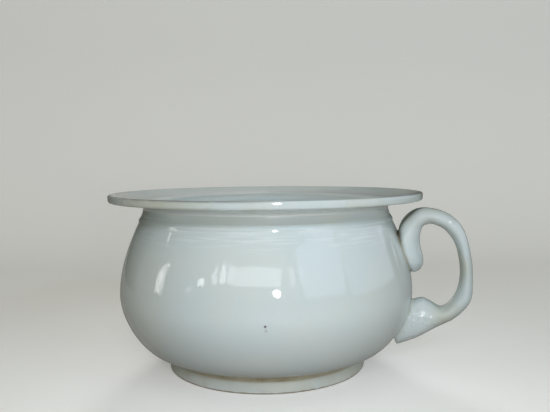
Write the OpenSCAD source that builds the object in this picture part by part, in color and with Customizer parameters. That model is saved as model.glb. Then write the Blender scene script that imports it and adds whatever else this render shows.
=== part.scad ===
// Chamber pot of white glazed earthenware: a round-bellied bowl on a turned foot ring,
// a wide everted rim, and one ear-shaped handle luted to the shoulder and the belly with slip.
// Millimetres, +Z up. The origin is on the pot's axis, on the plane that the foot stands on,
// and the handle lies along +X.

/* [Rim] */
// Diameter across the lip
rim_d = 230; // [222:1:238]
// Height of the pot, to the crown of the lip
pot_h = 128; // [126:0.5:131]
// Depth of the lip's outer face
lip_h = 5.2; // [4:0.2:6]
// Fall of the flange from the lip to the throat
flange_fall = 5; // [3:0.5:6]

/* [Bowl] */
// Diameter of the belly at its widest
belly_d = 216; // [208:1:220]
// Height of the widest part of the belly
belly_z = 56; // [52:0.5:60]
// Diameter of the neck, under the rim
neck_d = 181; // [175:1:185]
// Height of the neck, where the rim sits
neck_z = 117; // [114:0.5:118]
// Thickness of the wall
wall_t = 5.6; // [4:0.2:7]
// Thickness of the floor
floor_t = 6; // [5:0.5:8]

/* [Foot] */
// Diameter of the foot at the standing edge
foot_d = 146; // [140:1:148]
// Width of the foot ring
foot_w = 9; // [7:0.5:12]
// Height of the foot ring, from the standing edge to the bowl's underside
foot_h = 11.2; // [9:0.2:12]
// Diameter at which the belly has turned under to the foot
turn_d = 164; // [158:1:168]

/* [Handle] */
// Farthest reach of the handle from the pot's axis
handle_reach = 149.7; // [145:0.5:155]
// Height of the top of the handle
handle_top = 116.6; // [114:0.2:118]
// Width of the handle's strap, across the pot
strap_w = 19; // [15:0.5:24]
// Width of the club end that lies on the shoulder
club_w = 28; // [24:0.5:31]
// Width of the leaf end that lies on the belly
leaf_w = 25; // [20:0.5:30]

/* [Luting slip] */
// Thickness of the slip bed under each end of the handle
slip_t = 0.8; // [0.6:0.1:1.2]
// How far the slip squeezes out round each end
slip_out = 0.9; // [0.6:0.1:1.4]
// Height of the slip fillet on the foot ring's outer face
cove_h = 3.5; // [2:0.5:5]
// Width of the slip fillet under the belly
cove_w = 5.5; // [3:0.5:8]

/* [Hidden] */
$fn = 96;

white_glaze = "#dfe6e4";
foot_glaze = "#d3d5cc";
stained_slip = "#a59a83";

rim_r = rim_d / 2;
belly_r = belly_d / 2;
neck_r = neck_d / 2;
throat_r = neck_r - wall_t;
foot_r = foot_d / 2;
foot_top_r = foot_r - 1.5;
foot_inner_r = foot_r - foot_w;
turn_r = turn_d / 2;
turn_z = foot_h + 3.3;
floor_z = foot_h + floor_t;

// How far the ends of the wall's curves pull it towards their own direction
turn_under_angle = 9;
turn_under_pull = 11.4;
low_belly_pull = 17.4;
shoulder_pull = 29.4;
neck_pull = 6.6;

// The flat middle of the floor, and how gently it turns up into the wall
floor_flat_r = 46;
floor_pull = 44;

// Points of a cubic Bezier curve from a to d in n steps, without a itself
function bezier(a, b, c, d, n) =
    [for (i = [1:n]) let (t = i / n, s = 1 - t) s*s*s*a + 3*s*s*t*b + 3*s*t*t*c + t*t*t*d];

// Point of the belly's underside at a radius inside the turn, where it runs straight in to the foot
function underside(r) = [r, turn_z - (turn_r - r) * tan(turn_under_angle)];

// Outer wall of the bowl from the turn to the neck, stood off the real wall by a gap
function outer_wall(gap) =
    let (
        along = [cos(turn_under_angle), sin(turn_under_angle)],
        outward = [sin(turn_under_angle), -cos(turn_under_angle)],
        turn = [turn_r, turn_z] + gap * outward,
        belly = [belly_r + gap, belly_z],
        neck = [neck_r + gap, neck_z]
    )
    concat(
        [turn],
        bezier(turn, turn + turn_under_pull * along, belly - [0, low_belly_pull], belly, 24),
        bezier(belly, belly + [0, shoulder_pull], neck - [0, neck_pull], neck, 28)
    );

// Inner wall of the bowl from the throat down to the flat of the floor
function inner_wall() =
    let (
        throat = [throat_r, neck_z],
        belly = [belly_r - wall_t, belly_z],
        flat = [floor_flat_r, floor_z]
    )
    concat(
        [throat],
        bezier(throat, throat - [0, neck_pull], belly + [0, shoulder_pull], belly, 28),
        bezier(belly, belly - [0, low_belly_pull], flat + [floor_pull, 0], flat, 24)
    );

// Bowl: belly wall and floor, thrown in one piece
module bowl() {
    base = [[0, floor_z], [0, foot_h], [foot_top_r, foot_h], underside(foot_top_r)];
    color(white_glaze)
    rotate_extrude()
    polygon(concat(base, outer_wall(0), inner_wall()));
}

// Foot ring: flat standing edge with eased corners, and an outer face drawn in a little to the bowl
module foot_ring() {
    ease = 1.2;
    stand_out = [foot_r - ease, 0];
    stand_in = [foot_inner_r + ease, 0];
    outside = [foot_r, ease];
    inside = [foot_inner_r, ease];
    color(foot_glaze)
    rotate_extrude()
    polygon(concat(
        [stand_out],
        bezier(stand_out, [foot_r, 0], [foot_r, 0], outside, 6),
        [[foot_top_r, foot_h - cove_h], [foot_top_r, foot_h], [foot_inner_r - 1, foot_h], inside],
        bezier(inside, [foot_inner_r, 0], [foot_inner_r, 0], stand_in, 6)
    ));
}

// Slip fillet: a concave cove in the corner between the foot ring and the bowl's underside
module foot_luting_slip() {
    low = [foot_top_r, foot_h - cove_h];
    high = underside(foot_top_r + cove_w);
    corner = underside(foot_top_r);
    color(stained_slip)
    rotate_extrude()
    polygon(concat(
        [corner, low],
        bezier(low, low + [0.3, 0.85 * cove_h], underside(foot_top_r + cove_w / 2), high, 10)
    ));
}

// Rim: a flange that rolls out from the throat to a rounded lip, seated on the neck
module rim() {
    seat_in = [throat_r, neck_z];
    seat_out = [neck_r, neck_z];
    dish = [throat_r + 8, pot_h - flange_fall];
    crown = [rim_r - 2, pot_h];
    lip_low = [rim_r - 1.2, pot_h - lip_h];
    cove = [neck_r + 5, pot_h - lip_h - 2.6];
    bulge = [rim_r + 0.5, pot_h];
    color(white_glaze)
    rotate_extrude()
    polygon(concat(
        [seat_in],
        bezier(seat_in, seat_in + [0, 4], dish - [5, 0.8], dish, 10),
        bezier(dish, dish + [8, 1.2], crown - [5, 1.4], crown, 10),
        bezier(crown, bulge, bulge - [0, lip_h - 1], lip_low, 10),
        bezier(lip_low, lip_low - [6, 0.6], cove + [7, 1], cove, 8),
        bezier(cove, cove - [3, 0.6], seat_out + [0, 1.6], seat_out, 8)
    ));
}

// Handle stations: [outer edge x, z], [inner edge x, z], width, taper of the width towards the outer edge;
// a taper below zero widens it, as at the club, which spreads where it was pressed on the wall.
// They run from the tip of the club on the shoulder, over the top, and down to the leaf on the belly.
STATIONS = [
    [[105.0, 70.4], [114.1, 70.8], 0.75 * club_w, -0.3],
    [[101.8, 80.0], [115.4, 79.5], club_w, -0.3],
    [[97.6, 92.5], [112.8, 93.0], club_w, -0.3],
    [[99.6, handle_top - 10], [114.4, 102.6], (club_w + strap_w) / 2, -0.15],
    [[108.6, handle_top - 1.2], [118.2, 104.8], strap_w, 0],
    [[120.0, handle_top], [122.6, 104.8], strap_w, 0],
    [[133.4, handle_top - 4.6], [130.0, 101.0], strap_w, 0],
    [[handle_reach - 6.4, 101.0], [handle_reach - 13.2, 92.6], strap_w, 0],
    [[handle_reach - 1.2, 82.0], [handle_reach - 9.8, 81.0], strap_w, 0],
    [[handle_reach, 66.0], [handle_reach - 9.0, 67.0], strap_w, 0],
    [[handle_reach - 3.2, 49.0], [handle_reach - 12.6, 54.0], strap_w, 0],
    [[138.0, 38.2], [128.4, 45.6], strap_w, 0],
    [[124.0, 30.5], [119.6, 49.8], (strap_w + leaf_w) / 2, 0],
    [[110.0, 22.8], [112.6, 51.2], leaf_w, 0.05],
    [[95.4, 16.9], [94.2, 44.0], 0.84 * leaf_w, 0.1]
];
LAST = len(STATIONS) - 1;
SIDES = 20;
RINGS_PER_STATION = 5;
RINGS = LAST * RINGS_PER_STATION;
CLUB_RINGS = 18;
LEAF_RINGS = 15;

// Smooth value between b and c, led by a before and d after (Catmull-Rom)
function between(a, b, c, d, t) =
    0.5 * (2*b + (c - a)*t + (2*a - 5*b + 4*c - d)*t*t + (3*b - a - 3*c + d)*t*t*t);

// Station at any place u along the handle; the end stations are repeated past the ends
function nearest(i) = STATIONS[max(0, min(LAST, i))];
function station(u) =
    let (i = min(LAST - 1, floor(u)))
    [for (k = [0:3]) between(nearest(i - 1)[k], nearest(i)[k], nearest(i + 1)[k], nearest(i + 2)[k], u - i)];

// The club's tip closes as a quarter ellipse over the first station
function closing(u) = u < 1 ? sqrt(1 - pow(1 - max(u, 0.02), 2)) : 1;

// Oval section between the two edges at u, grown all round; the taper makes it egg-shaped
function section(u, grow) =
    let (
        s = station(u),
        middle = (s[0] + s[1]) / 2,
        half = (s[0] - s[1]) / 2,
        outward = half / norm(half),
        half_t = norm(half) * closing(u) + grow,
        half_w = s[2] / 2 * closing(u) + grow
    )
    [for (k = [0:SIDES - 1])
        let (
            a = 360 * k / SIDES,
            edge = middle + outward * half_t * sin(a),
            across = half_w * cos(a) * (1 - s[3] * sin(a)) / (1 + s[3] / 3)
        )
        [edge[0], across, edge[1]]
    ];

// Closed skin through the handle's sections from one ring to another
module loft(from, to, grow) {
    n = to - from;
    points = [for (i = [from:to]) each section(i / RINGS_PER_STATION, grow)];
    skin = [for (i = [0:n - 1], k = [0:SIDES - 1])
        let (a = i * SIDES + k, b = i * SIDES + (k + 1) % SIDES)
        each [[a, b, b + SIDES], [a, b + SIDES, a + SIDES]]
    ];
    first = [for (k = [1:SIDES - 2]) [0, k + 1, k]];
    last = [for (k = [1:SIDES - 2]) [n * SIDES, n * SIDES + k, n * SIDES + k + 1]];
    polyhedron(points, concat(skin, first, last));
}

// Solid form of the bowl's outside, stood off by a gap, to which the handle's ends are fitted
module belly_form(gap) {
    rotate_extrude()
    polygon(concat([[0, neck_z], [0, foot_h]], outer_wall(gap)));
}

// Handle: one press-moulded piece, its club and leaf ends trimmed to the belly
module handle() {
    color(white_glaze)
    difference() {
        loft(0, RINGS, 0);
        belly_form(slip_t);
    }
}

// Bed of slip between one end of the handle and the belly
module slip_bed(from, to) {
    color(stained_slip)
    difference() {
        intersection() {
            loft(from, to, slip_out);
            belly_form(slip_t);
        }
        belly_form(0);
    }
}

module upper_luting_slip() {
    slip_bed(0, CLUB_RINGS);
}

module lower_luting_slip() {
    slip_bed(RINGS - LEAF_RINGS, RINGS);
}

bowl();
foot_ring();
foot_luting_slip();
rim();
handle();
upper_luting_slip();
lower_luting_slip();
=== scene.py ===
import bpy
import numpy as np
from mathutils import Matrix


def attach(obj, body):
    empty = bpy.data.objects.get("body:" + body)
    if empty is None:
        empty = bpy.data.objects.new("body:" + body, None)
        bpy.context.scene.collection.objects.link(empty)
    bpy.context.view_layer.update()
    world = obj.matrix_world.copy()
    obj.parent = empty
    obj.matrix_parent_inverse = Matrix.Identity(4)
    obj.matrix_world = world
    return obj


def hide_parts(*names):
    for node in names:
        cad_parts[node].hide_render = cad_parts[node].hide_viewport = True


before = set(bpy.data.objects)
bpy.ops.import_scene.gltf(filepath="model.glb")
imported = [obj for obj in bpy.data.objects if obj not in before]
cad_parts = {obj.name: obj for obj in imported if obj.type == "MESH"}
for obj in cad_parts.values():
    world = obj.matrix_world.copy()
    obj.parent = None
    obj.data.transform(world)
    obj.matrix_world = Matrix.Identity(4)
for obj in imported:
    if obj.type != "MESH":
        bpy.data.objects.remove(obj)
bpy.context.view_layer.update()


# Bowl: the round belly with its floor, thrown on the wheel in white earthenware and turned smooth.
# Dipped in one glossy glaze with a faint blue-green cast, finely crazed, with a few iron specks.
# Sizes here and below are millimetres, as (radius, height) or (x, y, z); heights that a coat reads are metres.

NECK_R, NECK_Z = 90.5, 117.0
BELLY_R, BELLY_Z = 108.0, 56.0
TURN = (82.0, 14.5)
THROAT_R, INNER_R = 84.9, 102.4
FLOOR_Z, FLOOR_FLAT_R = 17.2, 46.0
UNDER_Z = 11.2
POLE_R = 6.0
RIDGE_Z, RIDGE_RISE, RIDGE_HALF = 109.7, 0.75, 1.5
MM = 0.001


def curve(a, b, c, d, count):
    """Cubic from a to d led by b and c: (1-t)^3 a + 3(1-t)^2 t b + 3(1-t) t^2 c + t^3 d."""
    t = np.linspace(0, 1, count)[:, None]
    a, b, c, d = (np.array(p, float) for p in (a, b, c, d))
    return (1 - t) ** 3 * a + 3 * (1 - t) ** 2 * t * b + 3 * (1 - t) * t**2 * c + t**3 * d


def straight(a, b, count):
    """Points evenly spaced on the line from a to b."""
    t = np.linspace(0, 1, count)[:, None]
    return (1 - t) * np.array(a, float) + t * np.array(b, float)


def out_of_true(angle, z):
    """Share by which the wheel left the wall short of round: two slow waves that turn a little with height."""
    oval = 0.5 - 0.5 * np.cos(2 * angle - 1.1 - 0.004 * z)
    three = 0.5 - 0.5 * np.cos(3 * angle + 0.7 + 0.010 * z)
    return 0.0020 * oval + 0.0011 * three


def turned(profile, columns=320):
    """A profile of (r, z) rows carried once round the axis: (r cos a, r sin a, z), with r less its out-of-true share.
    The angles crowd together towards the handle: a = t - 0.7 sin t."""
    turn = np.arange(columns) / columns * 2 * np.pi
    angle = (turn - 0.7 * np.sin(turn))[None, :]
    r, z = profile[:, :1], profile[:, 1:]
    r = r * (1 - out_of_true(angle, z))
    return np.stack([r * np.cos(angle), r * np.sin(angle), z + 0 * angle], -1)


def skin(name, grid, closed_rows=False, first_pole=False, last_pole=False):
    """Mesh object over a grid of points, closed round its columns, turned so that it encloses a positive volume.
    Closed rows join the last row to the first; a pole draws a whole end row into its mean point."""
    rows, columns = grid.shape[:2]
    points = grid.reshape(-1, 3)
    index = np.arange(rows * columns).reshape(rows, columns)
    if closed_rows:
        index = np.vstack([index, index[:1]])
    a, b = index[:-1], index[1:]
    quads = np.stack([a, np.roll(a, -1, 1), np.roll(b, -1, 1), b], -1).reshape(-1, 4)
    caps = np.zeros((0, 3), int)
    for wanted, row, order in ((first_pole, index[0], 1), (last_pole, index[-1], -1)):
        if wanted:
            pole = np.full(columns, len(points))
            points = np.vstack([points, grid.reshape(-1, 3)[row].mean(0)])
            caps = np.vstack([caps, np.stack([pole, np.roll(row, -1), row], -1)[:, ::order]])
    triangles = np.vstack([quads[:, [0, 1, 2]], quads[:, [0, 2, 3]], caps])
    p, q, r = (points[triangles[:, k]] for k in range(3))
    if np.einsum("ij,ij->", p, np.cross(q, r)) < 0:
        quads, caps = quads[:, ::-1], caps[:, ::-1]
    mesh = bpy.data.meshes.new(name)
    mesh.from_pydata((points * MM).tolist(), [], quads.tolist() + caps.tolist())
    mesh.shade_smooth()
    mesh.set_sharp_from_angle(angle=np.radians(40))
    made = bpy.data.objects.new(name, mesh)
    bpy.context.scene.collection.objects.link(made)
    return made


OUTSIDE = np.vstack([
    curve(TURN, (93.26, 16.28), (BELLY_R, 38.6), (BELLY_R, BELLY_Z), 64),
    curve((BELLY_R, BELLY_Z), (BELLY_R, 85.4), (NECK_R, 110.4), (NECK_R, NECK_Z), 90)[1:],
])
# A low turned ridge rings the base of the neck, a bell curve in height.
OUTSIDE[:, 0] += RIDGE_RISE * np.exp(-(((OUTSIDE[:, 1] - RIDGE_Z) / RIDGE_HALF) ** 2))
INSIDE = np.vstack([
    straight((POLE_R, FLOOR_Z), (FLOOR_FLAT_R, FLOOR_Z), 7),
    curve((FLOOR_FLAT_R, FLOOR_Z), (90, FLOOR_Z), (INNER_R, 38.6), (INNER_R, BELLY_Z), 36)[1:],
    curve((INNER_R, BELLY_Z), (INNER_R, 85.4), (THROAT_R, 110.4), (THROAT_R, NECK_Z), 36)[1:],
])
UNDERSIDE = np.vstack([
    straight((79.9, 14.17), (71.5, 12.84), 5),
    straight((71.5, UNDER_Z), (60, UNDER_Z), 4),
    straight((48, UNDER_Z), (POLE_R, UNDER_Z), 6),
])
bowl = skin("bowl", turned(np.vstack([INSIDE, OUTSIDE[::-1], UNDERSIDE])), first_pole=True, last_pole=True)


def node(tree, kind, sockets=(), **settings):
    """Adds a node with its own settings and fills its sockets: an output is linked, anything else is set."""
    made = tree.nodes.new("ShaderNode" + kind)
    for key, value in settings.items():
        setattr(made, key, value)
    for key, value in dict(sockets).items():
        if isinstance(value, bpy.types.NodeSocket):
            tree.links.new(value, made.inputs[key])
        else:
            made.inputs[key].default_value = value
    return made


def math(tree, operation, a, b=0.0, c=0.0):
    """One number worked out from two, or from three."""
    return node(tree, "Math", {0: a, 1: b, 2: c}, operation=operation).outputs[0]


def plus(tree, value, where, amount):
    """The value with an amount added where another number is 1."""
    return math(tree, "ADD", value, math(tree, "MULTIPLY", where, amount))


def marked(tree, name):
    """The number that the mesh keeps for each of its points under a name."""
    return node(tree, "Attribute", attribute_name=name).outputs["Fac"]


def blend(tree, share, under, over):
    """The colour under, covered by the colour over in that share."""
    colours = {k: c if isinstance(c, bpy.types.NodeSocket) else (*c, 1.0) for k, c in ((6, under), (7, over))}
    return node(tree, "Mix", {0: share, **colours}, data_type="RGBA").outputs[2]


def stain(tree, colour, where, strength, tint):
    """The colour, covered by a tint in that strength where a number is 1."""
    return blend(tree, math(tree, "MULTIPLY", where, strength), colour, tint)


def step(tree, value, low, high):
    """0 at low, 1 at high, and a soft step between; low may be the larger."""
    sockets = {"Value": value, "From Min": low, "From Max": high}
    return node(tree, "MapRange", sockets, interpolation_type="SMOOTHSTEP").outputs[0]


def cloud(tree, place, size, detail=2.0):
    """Soft noise with patches about size millimetres across."""
    sockets = {"Vector": place, "Scale": 1000.0 / size, "Detail": detail, "Roughness": 0.55}
    return node(tree, "TexNoise", sockets).outputs[0]


def stretched(tree, place, scale):
    """The place with each axis scaled, so that a pattern is drawn out along the others."""
    return node(tree, "Mapping", {"Vector": place, "Scale": scale}).outputs[0]


def near(tree, place, spot, radius, edge):
    """1 within radius of a spot and 0 past radius plus edge, all in millimetres."""
    centre = tuple(MM * s for s in spot)
    away = node(tree, "VectorMath", {0: place, 1: centre}, operation="DISTANCE").outputs["Value"]
    return step(tree, away, MM * (radius + edge), MM * radius)


def glaze_coat(name, cool, warm, wave=0.10):
    """A white glaze: colour drifting between two near-whites, fine crazing, a few iron specks and an uneven gloss.
    Height, in millimetres, is a slow wave, faint turning lines and the fine skin of the melt."""
    material = bpy.data.materials.new(name)
    material.use_nodes = True
    tree = material.node_tree
    place = node(tree, "TexCoord").outputs["Object"]
    drift = cloud(tree, place, 55, 3)
    colour = blend(tree, step(tree, drift, 0.38, 0.64), cool, warm)

    bent = node(tree, "TexNoise", {"Vector": place, "Scale": 90.0, "Detail": 1.0}).outputs["Color"]
    crackle = node(tree, "VectorMath", {0: bent, 1: (0.004,) * 3, 2: place}, operation="MULTIPLY_ADD").outputs[0]
    edge = node(tree, "TexVoronoi", {"Vector": crackle, "Scale": 125.0}, feature="DISTANCE_TO_EDGE").outputs[0]
    line = math(tree, "MULTIPLY", step(tree, edge, 0.022, 0.006), step(tree, cloud(tree, place, 38), 0.42, 0.66))
    colour = stain(tree, colour, line, 0.05, (0.40, 0.38, 0.32))

    grains = node(tree, "TexVoronoi", {"Vector": place, "Scale": 62.0})
    chosen = step(tree, node(tree, "SeparateColor", {0: grains.outputs["Color"]}).outputs[0], 0.80, 0.84)
    speck = math(tree, "MULTIPLY", step(tree, grains.outputs["Distance"], 0.030, 0.018), chosen)
    colour = stain(tree, colour, speck, 0.55, (0.16, 0.13, 0.10))

    gloss = math(tree, "MULTIPLY_ADD", cloud(tree, place, 20), 0.06, 0.02)
    rings = cloud(tree, stretched(tree, place, (5.0, 5.0, 520.0)), 1000, 3)
    melt = cloud(tree, place, 8, 2)
    height = math(tree, "ADD", math(tree, "MULTIPLY", drift, wave), math(tree, "MULTIPLY", rings, 0.016))
    height = plus(tree, height, melt, 0.040)
    return material, tree, place, colour, gloss, height


def fire(material, colour, gloss, height, dirt_and_shade=None):
    """Joins a coat's colour, gloss and height to the glass-like surface of the fired glaze.
    A dark mark, where given, takes away its shine; the marks given are dirt with painted shade, and a painted
    reflection."""
    tree = material.node_tree
    shader = tree.nodes["Principled BSDF"]
    shader.inputs["IOR"].default_value = 1.52
    bump = node(tree, "Bump", {"Height": height, "Strength": 1.0, "Distance": MM})
    tree.links.new(colour, shader.inputs["Base Color"])
    tree.links.new(gloss, shader.inputs["Roughness"])
    tree.links.new(bump.outputs[0], shader.inputs["Normal"])
    if dirt_and_shade:
        shine = math(tree, "SUBTRACT", 0.5, math(tree, "MULTIPLY", dirt_and_shade, 0.5))
        tree.links.new(shine, shader.inputs["Specular IOR Level"])


COOL_WHITE, WARM_WHITE = (0.655, 0.742, 0.752), (0.685, 0.750, 0.735)
# The dark brown of the seams, used for dirt and for painted shade in the crevice under the rim.
DIRT_AND_SHADE = (0.112, 0.090, 0.048)
material, tree, place, colour, gloss, height = glaze_coat("bowl_glaze", COOL_WHITE, WARM_WHITE)
level = node(tree, "SeparateXYZ", {0: place}).outputs[2]
# Inside, a tan stain lies in patches on the floor.
dregs = math(tree, "MULTIPLY", step(tree, level, 0.026, 0.017), cloud(tree, place, 24, 3))
flat_place = node(tree, "VectorMath", {0: place, 1: (1 / MM, 1 / MM, 0.0)}, operation="MULTIPLY").outputs[0]
from_axis = node(tree, "VectorMath", {0: flat_place}, operation="LENGTH").outputs["Value"]
dregs = math(tree, "MULTIPLY", dregs, step(tree, from_axis, 78, 70))
colour = stain(tree, colour, dregs, 0.35, (0.42, 0.38, 0.28))
# Tan patches darken the underside and the lowest belly, next to the foot.
low_tan_patches = math(tree, "MULTIPLY", step(tree, level, 0.0200, 0.0145), step(tree, cloud(tree, place, 14, 4), 0.38, 0.62))
colour = stain(tree, colour, low_tan_patches, 0.40, (0.36, 0.31, 0.22))
# Paler lines are painted along the turning lines of the shoulder, as painted highlights of the ridges mirroring bright
# light.
lines = cloud(tree, stretched(tree, place, (40.0, 40.0, 800.0)), 1000, 3)
shoulder = math(tree, "MULTIPLY", step(tree, level, 0.093, 0.103), step(tree, level, 0.1115, 0.1085))
painted_streak_highlight = math(tree, "MULTIPLY", step(tree, lines, 0.48, 0.66), shoulder)
colour = stain(tree, colour, painted_streak_highlight, 0.55, (0.82, 0.87, 0.87))
# Grainy dirt beside the slip of the handle, with painted shade added in the crevice at the club's top, under the rim.
dirt_and_shade = marked(tree, "seam_dirt_and_shade")
dirt_and_shade = math(tree, "MULTIPLY", dirt_and_shade, step(tree, cloud(tree, place, 5, 3), 0.25, 0.62))
colour = blend(tree, dirt_and_shade, colour, DIRT_AND_SHADE)
# A pinhole in the glaze at the front of the belly, with a smudge under it.
pit = near(tree, place, (21.3, -105.7, 54.0), 0.55, 0.55)
smudge = near(tree, place, (21.7, -105.4, 51.4), 0.5, 0.9)
colour = stain(tree, colour, smudge, 0.30, (0.25, 0.22, 0.18))
colour = stain(tree, colour, pit, 0.80, (0.05, 0.045, 0.035))
gloss = plus(tree, gloss, dirt_and_shade, 0.35)
# The glaze ran on the front left, which breaks up what it mirrors there.
ripple = math(tree, "MULTIPLY", near(tree, place, (-28, -99, 78), 20, 16), cloud(tree, place, 4.0, 0.5))
height = plus(tree, height, ripple, 0.06)
# Above the ridge the neck keeps a dull film, and painted shade of the rim greys it, most at the front.
dull_film_and_shade = step(tree, level, 0.1105, 0.1130)
painted_rim_shade = math(tree, "MULTIPLY", dull_film_and_shade, near(tree, place, (22, -88, 114), 30, 45))
colour = stain(tree, colour, painted_rim_shade, 0.16, (0.30, 0.31, 0.30))
gloss = plus(tree, gloss, dull_film_and_shade, 0.25)
fire(material, colour, gloss, height, dirt_and_shade)
bowl.data.materials.append(material)
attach(bowl, "root")
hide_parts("bowl")


# Foot ring: the ring that the pot stands on, turned from the same clay and luted under the bowl.
# Glazed like the rest, but wiped bare and worn buff on the standing edge, which is also painted dark as a painted
# contact shadow.

FOOT = np.vstack([
    curve((71.8, 0), (73, 0), (73, 0), (73, 1.2), 10),
    straight((72.9, 1.6), (71.5, 7.7), 14),
    straight((71.5, 8.2), (71.5, UNDER_Z), 6),
    straight((70, UNDER_Z), (64.4, UNDER_Z), 4),
    straight((63, UNDER_Z), (64, 1.2), 14),
    curve((64, 1.2), (64, 0), (64, 0), (65.2, 0), 10)[1:],
    straight((66.2, 0), (70.8, 0), 5),
])
foot_ring = skin("foot_ring", turned(FOOT), closed_rows=True)

# The foot's whites are set darker than the bowl's.
FOOT_COOL, FOOT_WARM = (0.582, 0.632, 0.605), (0.608, 0.628, 0.555)
material, tree, place, colour, gloss, height = glaze_coat("foot_glaze", FOOT_COOL, FOOT_WARM, 0.06)
level = node(tree, "SeparateXYZ", {0: place}).outputs[2]
# Yellowed by handling, bare on the ragged standing edge and painted dark there as contact shadow, tan under the slip,
# with one chip.
handled = math(tree, "MULTIPLY", step(tree, cloud(tree, place, 16, 4), 0.40, 0.70), 0.30)
colour = blend(tree, handled, colour, (0.46, 0.43, 0.34))
ragged = math(tree, "MULTIPLY_ADD", cloud(tree, place, 4, 3), 0.0016, 0.0001)
bare_and_contact_shade = math(tree, "LESS_THAN", level, ragged)
colour = blend(tree, bare_and_contact_shade, colour, (0.31, 0.26, 0.185))
under_cove = step(tree, level, 0.0062, 0.0084)
colour = stain(tree, colour, under_cove, 0.45, (0.38, 0.34, 0.24))
chip = near(tree, place, (32.4, -64.2, 9.4), 0.45, 0.5)
colour = stain(tree, colour, chip, 0.75, (0.10, 0.08, 0.06))
gloss = plus(tree, gloss, bare_and_contact_shade, 0.55)
fire(material, colour, gloss, height)
foot_ring.data.materials.append(material)
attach(foot_ring, "root")
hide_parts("foot_ring")


# Slip under the bowl: liquid clay wiped into a hollow fillet between foot ring and bowl.
# The glaze is thin there, and years of dirt have stained it tan.

COVE = np.vstack([
    curve((71.5, 7.7), (71.8, 10.68), (74.25, 13.27), (77, 13.71), 18),
    straight((75.9, 13.54), (71.5, 12.84), 4),
    straight((71.5, 11.8), (71.5, 8.6), 4),
])
foot_slip = skin("foot_luting_slip", turned(COVE), closed_rows=True)


def stained_slip(name, clean, dirty, cover):
    """Thin glaze over slip: a stain in patches and fine grains, rougher where it is dirty, with a grainy skin.
    Cover is the pair of noise values between which clean gives way to dirty."""
    material = bpy.data.materials.new(name)
    material.use_nodes = True
    tree = material.node_tree
    place = node(tree, "TexCoord").outputs["Object"]
    patches = cloud(tree, place, 13, 5)
    fine = cloud(tree, place, 2.2, 3)
    mixed = math(tree, "MULTIPLY_ADD", fine, 0.35, math(tree, "MULTIPLY", patches, 0.65))
    share = step(tree, mixed, *cover)
    colour = blend(tree, share, clean, dirty)
    gloss = math(tree, "MULTIPLY_ADD", share, 0.32, 0.16)
    height = math(tree, "MULTIPLY", fine, 0.05)
    return material, tree, place, colour, gloss, height


FOOT_SLIP_CLEAN, FOOT_SLIP_DIRTY = (0.60, 0.565, 0.44), (0.36, 0.318, 0.205)
material, tree, place, colour, gloss, height = stained_slip(
    "foot_slip_stain", FOOT_SLIP_CLEAN, FOOT_SLIP_DIRTY, (0.34, 0.74))
fire(material, colour, gloss, height)
foot_slip.data.materials.append(material)
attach(foot_slip, "root")
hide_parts("foot_luting_slip")


# Rim: a broad flange rolled out from the throat to a rounded lip, thrown with the bowl's clay and seated on its neck.
# A thin dark line is painted along the crown of the lip as a painted reflection of dark surroundings, and the glaze has
# yellowed in places on the lip's face.

LIP_R, LIP_Z = 113.0, 128.0
LIP_TOP, LIP_LOW = (114.83, 127.2), (114.83, 124.0)
LIP_UNDER = (113.8, 122.8)
CROWN_R, CROWN_Z, CROWN_HALF = 114.35, 127.75, 0.85
YELLOW = (0.52, 0.505, 0.345)
RIM = np.vstack([
    curve((THROAT_R, NECK_Z), (THROAT_R, 121), (87.9, 122.2), (92.9, 123), 20),
    curve((92.9, 123), (100.9, 124.2), (108, 126.6), (LIP_R, LIP_Z), 40)[1:],
    curve((LIP_R, LIP_Z), (114.2, LIP_Z), (114.72, 127.75), LIP_TOP, 12)[1:],
    curve(LIP_TOP, (114.93, 126.2), (114.93, 125.2), LIP_LOW, 12)[1:],
    curve(LIP_LOW, (114.7, 123.3), (114.4, 122.9), LIP_UNDER, 10)[1:],
    curve(LIP_UNDER, (107.8, 122.2), (102.5, 121.2), (95.5, 120.2), 24)[1:],
    curve((95.5, 120.2), (92.5, 119.6), (NECK_R, 118.6), (NECK_R, NECK_Z), 18)[1:],
    straight((88.9, NECK_Z), (86.5, NECK_Z), 2),
])
rim = skin("rim", turned(RIM), closed_rows=True)


def points_of(made):
    """The mesh's points in millimetres, one row each."""
    flat = np.empty(3 * len(made.data.vertices))
    made.data.vertices.foreach_get("co", flat)
    return flat.reshape(-1, 3) * 1000


def mark(made, name, values):
    """Keeps one number per point of the mesh under a name that its material reads."""
    layer = made.data.attributes.new(name, "FLOAT", "POINT")
    layer.data.foreach_set("value", np.asarray(values, np.float32))


# Marks by radius and height: the crown of the lip, its outer face, and the flange's underside outside the neck.
points = points_of(rim)
heights = points[:, 2]
across = np.hypot(points[:, 0], points[:, 1]) / (1 - out_of_true(np.arctan2(points[:, 1], points[:, 0]), heights))
from_crown = np.hypot(across - CROWN_R, heights - CROWN_Z)
mark(rim, "crown", np.exp(-((from_crown / CROWN_HALF) ** 2)))
mark(rim, "face", np.clip((across - 111.5) / 2.0, 0, 1) * np.clip((127.9 - heights) / 1.0, 0, 1))
mark(rim, "underside", np.clip((122.9 - heights) / 0.6, 0, 1) * (across > 90.2))

material, tree, place, colour, gloss, height = glaze_coat("rim_glaze", COOL_WHITE, WARM_WHITE, 0.06)
# Painted light: the flange's underside is painted whiter, standing in for light bounced up from below.
underside = marked(tree, "underside")
colour = blend(tree, underside, colour, (0.82, 0.89, 0.90))
# The face of the lip is yellowed in patches, most on the left.
face = marked(tree, "face")
yellow_tint = math(tree, "MULTIPLY", step(tree, cloud(tree, place, 26, 4), 0.44, 0.66), 0.22)
side = near(tree, place, (-44, -106, 125), 14, 34)
yellow_tint = math(tree, "MULTIPLY", plus(tree, yellow_tint, side, 0.40), face)
colour = blend(tree, yellow_tint, colour, YELLOW)
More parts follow.
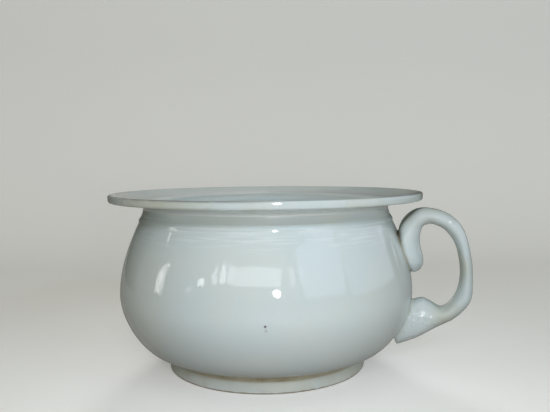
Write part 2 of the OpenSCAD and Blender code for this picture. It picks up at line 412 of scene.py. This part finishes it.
# A painted reflection of dark surroundings lies along the crown as a thin line, dark at the front left and broken
# elsewhere.
crown = marked(tree, "crown")
front_left = near(tree, place, (-30, -110, 128), 26, 50)
patchy = step(tree, cloud(tree, place, 11, 4), 0.16, 0.52)
crown_dark_reflection = math(tree, "ADD", math(tree, "MULTIPLY", front_left, 0.72), 0.10)
crown_dark_reflection = math(tree, "MULTIPLY", math(tree, "MULTIPLY", crown_dark_reflection, patchy), crown)
colour = blend(tree, crown_dark_reflection, colour, (0.15, 0.145, 0.12))
gloss = plus(tree, gloss, crown_dark_reflection, 0.4)
gloss = plus(tree, gloss, yellow_tint, 1.2)
fire(material, colour, gloss, height, crown_dark_reflection)
rim.data.materials.append(material)
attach(rim, "root")
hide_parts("rim")


# Handle: an ear-shaped roll of clay, pressed in a mould and stuck to the leather-hard pot.
# A club-shaped end lies on the shoulder, and a leaf-shaped end lies on the belly; both are trimmed to the wall.
# Each row is [outer edge x, z, inner edge x, z, width, taper], from the club's tip round to the leaf's tip.

EAR = np.array([
    [105.0, 70.4, 114.1, 70.8, 21.0, -0.3],
    [101.8, 80.0, 115.4, 79.5, 28.0, -0.3],
    [97.6, 92.5, 112.8, 93.0, 28.0, -0.3],
    [99.6, 106.6, 114.4, 102.6, 23.5, -0.15],
    [108.6, 115.4, 118.2, 104.8, 19.0, 0.0],
    [120.0, 116.6, 122.6, 104.8, 19.0, 0.0],
    [133.4, 112.0, 130.0, 101.0, 19.0, 0.0],
    [143.3, 101.0, 136.5, 92.6, 19.0, 0.0],
    [148.5, 82.0, 139.9, 81.0, 19.0, 0.0],
    [149.7, 66.0, 140.7, 67.0, 19.0, 0.0],
    [148.3, 50.3, 137.1, 54.0, 19.0, 0.0],
    [138.1, 38.2, 128.4, 45.6, 19.0, 0.0],
    [124.0, 30.5, 119.6, 49.8, 22.0, -0.1],
    [110.0, 22.8, 112.6, 51.2, 24.0, -0.1],
    [95.4, 16.9, 94.2, 44.0, 20.5, -0.1],
])
EAR_END = len(EAR) - 1.0
LEAF_FROM = 12.4
TIP_LENGTH, TIP_SHARE = 0.22, 0.30
SLIP_T = 0.8


def ear(u, a):
    """Skin of the handle at place u along it and angle a round it.
    Stations join smoothly (Catmull-Rom); a section is middle + half sin a between its edges and width cos a across,
    narrowed towards the outer edge by its taper; the club's tip closes as a quarter ellipse.
    The last stretch of the leaf draws its outer edge in by a quarter circle, which rounds the tip.
    cos a is taken to a power that falls from 1 to 0.6 at the leaf and 0.55 at the club, which flattens their sides."""
    u, a = np.broadcast_arrays(u, a)
    i = np.clip(np.floor(u).astype(int), 0, len(EAR) - 2)
    t = (u - i)[..., None]
    p, q, r, s = (EAR[np.clip(i + k, 0, len(EAR) - 1)] for k in (-1, 0, 1, 2))
    v = 0.5 * (2 * q + (r - p) * t + (2 * p - 5 * q + 4 * r - s) * t**2 + (3 * q - p - 3 * r + s) * t**3)
    closing = np.where(u < 1, np.sqrt(np.clip(1 - (1 - u) ** 2, 0, 1)), 1)
    edge = (v[..., 0:2] + v[..., 2:4]) / 2 + (v[..., 0:2] - v[..., 2:4]) / 2 * (closing * np.sin(a))[..., None]
    into_tip = np.clip((u - EAR_END + TIP_LENGTH) / TIP_LENGTH, 0, 1)
    blunt = TIP_SHARE * (1 - np.sqrt(1 - into_tip**2))[..., None]
    edge = edge + (v[..., 2:4] - v[..., 0:2]) * blunt * ((1 + np.sin(a)) / 2)[..., None]
    flatness = 1 - 0.4 * np.clip((u - 11) / 2, 0, 1) - 0.45 * np.clip((3.8 - u) / 1.2, 0, 1)
    across = np.sign(np.cos(a)) * np.abs(np.cos(a)) ** flatness
    width = v[..., 4] / 2 * closing * across * (1 - v[..., 5] * np.sin(a)) / (1 + v[..., 5] / 3)
    return np.stack([edge[..., 0], width, edge[..., 1]], -1)


def wall(points):
    """Radius of the bowl's outside at each point's height and angle."""
    r = np.interp(points[..., 2], OUTSIDE[:, 1], OUTSIDE[:, 0])
    return r * (1 - out_of_true(np.arctan2(points[..., 1], points[..., 0]), points[..., 2]))


def clear_of_wall(points):
    """How far each point stands off the bed of slip on the bowl, along its radius."""
    return np.hypot(points[..., 0], points[..., 1]) - wall(points) - SLIP_T


def trimmed(points):
    """Points inside the bed of slip moved out along their radius to lie on it."""
    r = np.hypot(points[..., 0], points[..., 1])
    out = np.maximum(r, wall(points) + SLIP_T) / r
    return points * np.stack([out, out, np.ones_like(out)], -1)


def leaf_ends(a):
    """Where along the handle each line of its skin runs into the bed of slip, or the cut end of the leaf."""
    u = np.linspace(LEAF_FROM, EAR_END, 900)[:, None]
    sunk = clear_of_wall(ear(u, a[None, :])) < 0
    return np.where(sunk.any(0), u[sunk.argmax(0), 0], EAR_END)


SIDES = np.arange(80) / 80 * 2 * np.pi
tip = (1 - np.cos(np.linspace(0.08, np.pi / 2, 26)))[:, None]
along = np.vstack([tip, np.linspace(1, LEAF_FROM, 190)[1:, None]])
last = np.linspace(0, 1, 44)[1:, None]
leaf = LEAF_FROM + (leaf_ends(SIDES)[None, :] - LEAF_FROM) * last
grid = trimmed(np.vstack([ear(along, SIDES[None, :]), ear(leaf, SIDES[None, :])]))
cut = grid[-1:]
centre = cut.mean(1, keepdims=True)
shrink = np.array([0.97, 0.90, 0.75, 0.5, 0.25])[:, None, None]
face_in = trimmed(centre + (cut - centre) * shrink + np.array([-0.5, 0, 0.1]))
handle = skin("handle", np.vstack([grid, face_in]), first_pole=True, last_pole=True)

material, tree, place, colour, gloss, height = glaze_coat("handle_glaze", COOL_WHITE, WARM_WHITE, 0.10)
# Yellowed in patches; the inner side of the loop and the lower bend are darker and yellower, partly stain and partly
# painted shade.
yellow_tint = math(tree, "MULTIPLY", step(tree, cloud(tree, place, 22, 4), 0.42, 0.68), 0.22)
inner_stain_and_shade = marked(tree, "inner_side_stain_and_shade")
yellow_tint = plus(tree, yellow_tint, inner_stain_and_shade, 0.55)
lower_bend_stain_and_shade = near(tree, place, (133, -9, 41), 4, 16)
yellow_tint = plus(tree, yellow_tint, lower_bend_stain_and_shade, 0.45)
colour = blend(tree, yellow_tint, colour, (0.52, 0.53, 0.42))
# Four white spots are painted as glints of the lamp beside the camera, and a gritty stretch lies on the leaf.
for spot in ((133.0, -9.1, 107.4), (115.7, -11.3, 43.0), (120.5, -11.5, 40.3), (104.8, -10.9, 39.5)):
    painted_glint = near(tree, place, spot, 0.5, 0.9)
    colour = blend(tree, painted_glint, colour, (0.95, 0.97, 0.97))
on_leaf = near(tree, place, (114, -10, 36), 8, 14)
grit = step(tree, cloud(tree, place, 3.2, 1), 0.50, 0.72)
height = math(tree, "ADD", height, math(tree, "MULTIPLY", math(tree, "MULTIPLY", on_leaf, grit), 0.22))
# Dirt along the seams, with painted shade at the club's top; grime on the upper edge under the rim where a cloth
# doesn't reach, darkened further as painted shade of the rim.
dirt_and_shade = marked(tree, "seam_dirt_and_shade")
dirt_and_shade = math(tree, "MULTIPLY", dirt_and_shade, step(tree, cloud(tree, place, 5, 3), 0.25, 0.62))
grime_and_rim_shade = math(tree, "MULTIPLY", marked(tree, "under_rim"), 0.92)
colour = blend(tree, grime_and_rim_shade, colour, (0.14, 0.138, 0.085))
colour = blend(tree, dirt_and_shade, colour, DIRT_AND_SHADE)
dirt_and_shade = math(tree, "MAXIMUM", dirt_and_shade, grime_and_rim_shade)
gloss = plus(tree, gloss, dirt_and_shade, 0.35)
fire(material, colour, gloss, height, dirt_and_shade)
handle.data.materials.append(material)
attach(handle, "root")
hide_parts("handle")


# Slip under the club: liquid clay squeezed out round the handle's upper end and wiped to a small fillet.
# Dirt has settled in it as a dark brown line, darkest at the top where a cloth doesn't reach and where painted shade of
# the crevice under the rim is added.


def club_seam():
    """Closed line where the club's skin meets the bed of slip: each section's crossing at +y, then mirrored."""
    u = np.linspace(0.02, 4, 700)[:, None]
    a = np.linspace(-np.pi / 2, np.pi / 2, 240)[None, :]
    points = ear(u, a)
    gap = clear_of_wall(points)
    met = gap[:, -1] < 0
    points, gap = points[met], gap[met]
    row, k = np.arange(len(gap)), np.maximum((gap < 0).argmax(1), 1)
    share = (gap[row, k - 1] / (gap[row, k - 1] - gap[row, k]))[:, None]
    side = points[row, k - 1] + share * (points[row, k] - points[row, k - 1])
    return np.vstack([side, side[::-1] * np.array([1, -1, 1])])


def evenly(loop, count):
    """A closed line taken again at equal steps of its length."""
    closed = np.vstack([loop, loop[:1]])
    length = np.append(0, np.cumsum(np.linalg.norm(np.diff(closed, axis=0), axis=1)))
    at = np.linspace(0, length[-1], count, endpoint=False)
    return np.stack([np.interp(at, length, closed[:, k]) for k in range(3)], -1)


def squeezed_slip(loop, rise, spread):
    """A hollow fillet carried along a closed seam: from the handle, rise above the wall, to the wall, spread away.
    Each section is a curve from about (0, rise) to (spread, 0) drawn in towards its corner and closed behind it."""
    ahead = np.roll(loop, -3, 0) - np.roll(loop, 3, 0)
    ahead /= np.linalg.norm(ahead, axis=1, keepdims=True)
    higher, lower = loop + [0, 0, 0.5], loop - [0, 0, 0.5]
    angle = np.arctan2(loop[:, 1], loop[:, 0])
    up = np.stack([np.cos(angle), np.sin(angle), -(wall(higher) - wall(lower))], -1)
    up /= np.linalg.norm(up, axis=1, keepdims=True)
    away = np.cross(ahead, up)
    away *= np.sign(np.einsum("ij,ij->", away, loop - loop.mean(0)))
    foot = loop - up * SLIP_T
    hollow = curve((-0.15, rise), (0.10, 0.35 * rise), (0.30 * spread, 0.06), (spread, -0.12), 12)
    section = np.vstack([hollow, [[0.3 * spread, -0.5], [-0.8, -0.4], [-0.8, 0.6 * rise]]])
    return foot[:, None] + away[:, None] * section[None, :, :1] + up[:, None] * section[None, :, 1:]


upper_seam = evenly(club_seam(), 200)
upper_slip = skin("upper_luting_slip", squeezed_slip(upper_seam, 1.5, 1.3), closed_rows=True)
UPPER_SLIP_CLEAN, UPPER_SLIP_DIRTY = (0.58, 0.60, 0.53), (0.40, 0.37, 0.28)
material, tree, place, colour, gloss, height = stained_slip(
    "upper_slip_stain", UPPER_SLIP_CLEAN, UPPER_SLIP_DIRTY, (0.32, 0.70))
# A dark seam line of dirt, with painted shade at the top in the crevice under the rim.
dirt_and_shade = marked(tree, "seam_dirt_and_shade")
colour = blend(tree, dirt_and_shade, colour, DIRT_AND_SHADE)
gloss = plus(tree, gloss, dirt_and_shade, 0.35)
fire(material, colour, gloss, height, dirt_and_shade)
upper_slip.data.materials.append(material)
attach(upper_slip, "root")
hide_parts("upper_luting_slip")


# Slip under the leaf: the same liquid clay, wiped smoother and wider, and kept cleaner.
# It follows the leaf's edge from the cut tip over the top and back.


def leaf_seam():
    """Closed line where the leaf's skin runs into the bed of slip, joined across the cut end of the leaf."""
    a = np.pi / 2 - np.linspace(0, 2 * np.pi, 720, endpoint=False)
    ends = leaf_ends(a)
    met = ends < EAR_END - 0.004
    side = ear(ends[met], a[met])
    bridge = side[-1] + (side[0] - side[-1]) * np.linspace(0, 1, 40)[1:-1, None]
    return np.vstack([side, bridge])


lower_seam = evenly(leaf_seam(), 200)
lower_slip = skin("lower_luting_slip", squeezed_slip(lower_seam, 2.2, 2.8), closed_rows=True)
LOWER_SLIP_CLEAN, LOWER_SLIP_DIRTY = (0.63, 0.68, 0.64), (0.44, 0.41, 0.32)
material, tree, place, colour, gloss, height = stained_slip(
    "lower_slip_stain", LOWER_SLIP_CLEAN, LOWER_SLIP_DIRTY, (0.46, 0.84))
fire(material, colour, gloss, height)
lower_slip.data.materials.append(material)
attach(lower_slip, "root")
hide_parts("lower_luting_slip")


def distance_to(points, loop):
    """Distance of each point from the nearest point of a line, for points near the handle; far ones get 99."""
    found = np.full(len(points), 99.0)
    close = points[:, 0] > 60
    found[close] = np.linalg.norm(points[close, None] - loop[None], axis=2).min(1)
    return found


def seam_dirt_and_shade(points, halo):
    """Dirt that the seams leave, with painted shade: a line along the club, faint at its sides and dark at its two
    ends, with a halo at the top, where painted shade of the crevice under the rim darkens it further, and a faint line
    along the leaf. Each falls off from its seam as a bell curve."""
    club, leaf = distance_to(points, upper_seam), distance_to(points, lower_seam)
    top, tip = np.clip((points[:, 2] - 90) / 9, 0, 1), np.clip((75 - points[:, 2]) / 4, 0, 1)
    line = np.exp(-((club / (1.4 + 0.8 * top)) ** 2)) * (0.20 + 0.60 * top + 0.35 * tip)
    around = np.exp(-((club / 6.0) ** 2)) * halo * (0.08 + 0.92 * top)
    return np.clip(line + around + 0.10 * np.exp(-((leaf / 2.2) ** 2)), 0, 1)


# The seams are known now, so the marks that the bowl, slip and handle coats read are laid here: seam dirt with painted
# shade, grime with painted shade under the rim, and the inner side, stained and painted with shade.
mark(bowl, "seam_dirt_and_shade", seam_dirt_and_shade(points_of(bowl), 1.0))
mark(upper_slip, "seam_dirt_and_shade", seam_dirt_and_shade(points_of(upper_slip), 0.1))
points = points_of(handle)
under_rim = ear(np.linspace(2.5, 4.5, 60), np.pi / 2 + 0.55 * np.sin(np.linspace(0, np.pi, 60)))
mark(handle, "under_rim", np.exp(-((distance_to(points, under_rim) / 2.8) ** 2)))
mark(handle, "seam_dirt_and_shade", seam_dirt_and_shade(points, 0.1))
hole = np.hypot(points[:, 0] - 128, points[:, 2] - 74)
mark(handle, "inner_side_stain_and_shade", np.clip((19.5 - hole) / 6, 0, 1) * (points[:, 0] > 118))


# Studio: a pale sweep under and behind the pot, lit softly from the front, the right and behind, with a dim surround.
# Cards show in the glaze alone, as sky, window panes and slats; dark flags show at its edges.
# A small bright lamp beside the camera leaves the sharp dots on lip, ridge and handle; four more dots on the handle and
# leaf are painted glints.

CAMERA_TURN = 12.0
POT_MIDDLE = (0.0, 0.0, 0.075)
SKY, WINDOW = (0.86, 0.95, 1.20), (0.94, 1.0, 1.08)


def toward(azimuth, elevation, distance):
    """Place at a distance in metres from the pot's middle, by degrees right of the camera and above level."""
    a, e = np.radians(azimuth + CAMERA_TURN), np.radians(elevation)
    return np.array([np.sin(a) * np.cos(e), -np.cos(a) * np.cos(e), np.sin(e)]) * distance + POT_MIDDLE


def facing(made, place):
    """Puts a lamp or flag at a place, facing the pot's middle with its top up."""
    back = np.array(place) - np.array(POT_MIDDLE)
    back = back / np.linalg.norm(back)
    right = np.cross([0, 0, 1], back)
    right = right / np.linalg.norm(right)
    rows = np.eye(4)
    rows[:3, 0], rows[:3, 1], rows[:3, 2], rows[:3, 3] = right, np.cross(back, right), back, place
    made.matrix_world = Matrix(rows)


def panel(name, azimuth, elevation, distance, width, height, radiance, tint=(1, 1, 1), on_clay=True, in_glaze=True):
    """A soft light of that radiance, facing the pot; power is pi times area times radiance.
    One that isn't on the clay shows in the glaze alone, and one that isn't in the glaze lights the clay alone."""
    lamp = bpy.data.lights.new(name, "AREA")
    lamp.shape = "RECTANGLE"
    lamp.size, lamp.size_y = width, height
    lamp.energy = np.pi * width * height * radiance
    lamp.color = tint
    made = bpy.data.objects.new(name, lamp)
    bpy.context.scene.collection.objects.link(made)
    facing(made, toward(azimuth, elevation, distance))
    made.visible_camera = False
    made.visible_diffuse = on_clay
    made.visible_glossy = in_glaze
    return made


panel("key_front", -2, 27.5, 1.5, 0.80, 0.12, 15.3, (0.95, 0.99, 1.16), in_glaze=False)
panel("key_right", 40, 26, 1.5, 0.80, 0.08, 12.9, (0.77, 1.0, 1.25), in_glaze=False)
back_fill = panel("back_fill", 180, 20, 0.72, 0.30, 0.20, 0.75, in_glaze=False)
back_fill.data.spread = np.radians(34)
panel("front_fill", 6.5, 8, 0.47, 0.11, 0.11, 8.2, in_glaze=False)
panel("sky_near", 43, 21, 1.4, 0.80, 0.78, 1.2, (0.84, 0.95, 1.25), on_clay=False)
panel("sky_far", 88, 17, 1.4, 1.30, 0.80, 0.75, SKY, on_clay=False)
panel("sky_edge", 121, 14, 1.4, 0.42, 0.80, 1.0, SKY, on_clay=False)
# Window panes: name, degrees right and up, width, height, radiance.
for name, azimuth, elevation, wide, tall, radiance in (
    ("pane_1", -38.7, 20, 0.09, 0.25, 3.4),
    ("pane_2", -32.5, 21.5, 0.10, 0.30, 4.8),
    ("pane_3", -26, 22, 0.12, 0.27, 3.2),
    ("window_right", -6, 21.5, 0.80, 0.30, 2.5),
    ("window_bar", 19, 21, 0.09, 0.26, 1.6),
    ("window_edge", 26, 21, 0.07, 0.24, 1.2),
):
    panel(name, azimuth, elevation, 1.4, wide, tall, radiance, WINDOW, on_clay=False)
# Slats and small cards to the left: the same, with the distance after the degrees.
for name, azimuth, elevation, distance, wide, tall, radiance in (
    ("left_slat_1", -86.5, 6, 1.2, 0.035, 0.24, 5.4),
    ("left_slat_2", -83.6, 7.5, 1.2, 0.045, 0.32, 6.6),
    ("left_slat_3", -80.6, 9, 1.2, 0.03, 0.36, 4.8),
    ("small_card", -48, 14.8, 1.4, 0.11, 0.12, 6.5),
    ("small_tail", -57, 8.5, 1.4, 0.10, 0.08, 2.0),
    ("spot_card", -91, 24.5, 1.2, 0.05, 0.04, 3.0),
):
    panel(name, azimuth, elevation, distance, wide, tall, radiance, on_clay=False)
# A stack of weak cards behind the pot, each narrower and nearer, adds up to a glow with soft ends.
for count, (width, radiance) in enumerate(((0.50, 0.10), (0.27, 0.08), (0.20, 0.08), (0.13, 0.08), (0.07, 0.08))):
    panel(f"back_card_{count}", -179, 27, 0.62 - 0.01 * count, width, 0.50, radiance, on_clay=False)

lamp = bpy.data.lights.new("camera_lamp", "POINT")
lamp.energy = 0.80
lamp.shadow_soft_size = 0.019
flash = bpy.data.objects.new("camera_lamp", lamp)
flash.location = toward(6.5, 8, 0.452)
bpy.context.scene.collection.objects.link(flash)

FLAG_HALF_W, FLAG_HALF_H = 0.30, 0.35
flag_coat = bpy.data.materials.new("dark_flag")
flag_coat.use_nodes = True
flag_shader = flag_coat.node_tree.nodes["Principled BSDF"]
flag_shader.inputs["Base Color"].default_value = (0.20, 0.20, 0.185, 1)
flag_shader.inputs["Roughness"].default_value = 0.9
for side, azimuth in (("left", -133), ("right", 157)):
    mesh = bpy.data.meshes.new("flag_" + side)
    corners = [(FLAG_HALF_W * x, FLAG_HALF_H * y, 0) for x, y in ((-1, -1), (1, -1), (1, 1), (-1, 1))]
    mesh.from_pydata(corners, [], [(0, 1, 2, 3)])
    mesh.materials.append(flag_coat)
    flag = bpy.data.objects.new("flag_" + side, mesh)
    bpy.context.scene.collection.objects.link(flag)
    facing(flag, toward(azimuth, 5, 0.75))
    flag.visible_camera = flag.visible_diffuse = flag.visible_shadow = flag.visible_transmission = False

# The sweep runs level from in front of the pot, bends up through a quarter circle and stands as a wall.
FLOOR_FRONT, BEND_FROM, BEND_R = -1600, 420, 380
WALL_TOP, SWEEP_HALF = 2600, 2600
FLOOR_DROP = 0.1
bend = np.linspace(0, np.pi / 2, 16)[1:]
wall_at = BEND_FROM + BEND_R
reach = np.concatenate([np.linspace(FLOOR_FRONT, BEND_FROM, 24), BEND_FROM + BEND_R * np.sin(bend), [wall_at, wall_at]])
level = np.concatenate([np.zeros(24), BEND_R - BEND_R * np.cos(bend), [900, WALL_TOP]]) - FLOOR_DROP
wide = np.linspace(-SWEEP_HALF, SWEEP_HALF, 14)
turn = np.radians(CAMERA_TURN)
sweep = np.stack([
    wide[None, :] * np.cos(turn) - reach[:, None] * np.sin(turn),
    wide[None, :] * np.sin(turn) + reach[:, None] * np.cos(turn),
    level[:, None] + 0 * wide[None, :],
], -1)
index = np.arange(sweep.shape[0] * sweep.shape[1]).reshape(sweep.shape[:2])
mesh = bpy.data.meshes.new("sweep")
quads = np.stack([index[:-1, :-1], index[:-1, 1:], index[1:, 1:], index[1:, :-1]], -1).reshape(-1, 4)
mesh.from_pydata((sweep.reshape(-1, 3) * MM).tolist(), [], quads.tolist())
mesh.shade_smooth()
floor = bpy.data.objects.new("sweep", mesh)
bpy.context.scene.collection.objects.link(floor)
# It shows pale to the camera and at 0.45 of that in the glaze, and gives light back to the pot as a darker tone.
material = bpy.data.materials.new("pale_sweep")
material.use_nodes = True
tree = material.node_tree
shader = tree.nodes["Principled BSDF"]
rays = node(tree, "LightPath").outputs
mirrored = math(tree, "MULTIPLY", rays["Is Glossy Ray"], 0.45)
seen = math(tree, "ADD", math(tree, "ADD", rays["Is Camera Ray"], mirrored), rays["Is Transmission Ray"])
tone = blend(tree, seen, (0.20, 0.18, 0.15), (0.86, 0.86, 0.85))
tree.links.new(tone, shader.inputs["Base Color"])
shader.inputs["Roughness"].default_value = 0.85
shader.inputs["Emission Color"].default_value = (1.0, 1.0, 0.98, 1)
tree.links.new(math(tree, "MULTIPLY", seen, 0.24), shader.inputs["Emission Strength"])
mesh.materials.append(material)

world = bpy.data.worlds.new("surround")
world.use_nodes = True
world.node_tree.nodes["Background"].inputs["Color"].default_value = (0.250, 0.242, 0.175, 1)
bpy.context.scene.world = world

# Camera: at the photograph's viewing angle, a little above the rim, with the handle to the right.
# The focal length is in pixels of a picture 550 wide and 412 high.

PICTURE_W, FOCAL = 550, 615.13
SENSOR_W = 36.0
EYE_AWAY, EYE_HIGH = 0.4614, 0.14949
ROLL, DOWN, ASIDE = -0.008896, 0.069789, 0.014776
camera = bpy.data.cameras.new("camera")
camera.sensor_fit = "HORIZONTAL"
camera.sensor_width = SENSOR_W
camera.lens = SENSOR_W * FOCAL / PICTURE_W
camera.clip_start, camera.clip_end = 0.01, 50


def turn_about(axis, angle):
    """Matrix that turns by an angle about one of the three axes."""
    c, s = np.cos(angle), np.sin(angle)
    i, j = [(1, 2), (2, 0), (0, 1)][axis]
    made = np.eye(3)
    made[i, i], made[i, j], made[j, i], made[j, j] = c, -s, s, c
    return made


round_pot = turn_about(2, np.radians(CAMERA_TURN))
looks = turn_about(1, ROLL) @ turn_about(0, DOWN) @ turn_about(2, ASIDE)
right, ahead, up = looks @ round_pot.T
rows = np.eye(4)
rows[:3, 0], rows[:3, 1], rows[:3, 2] = right, up, -ahead
rows[:3, 3] = round_pot @ [0, -EYE_AWAY, EYE_HIGH]
eye = bpy.data.objects.new("camera", camera)
bpy.context.scene.collection.objects.link(eye)
eye.matrix_world = Matrix(rows)
bpy.context.scene.camera = eye
bpy.context.scene.view_settings.view_transform = "Standard"
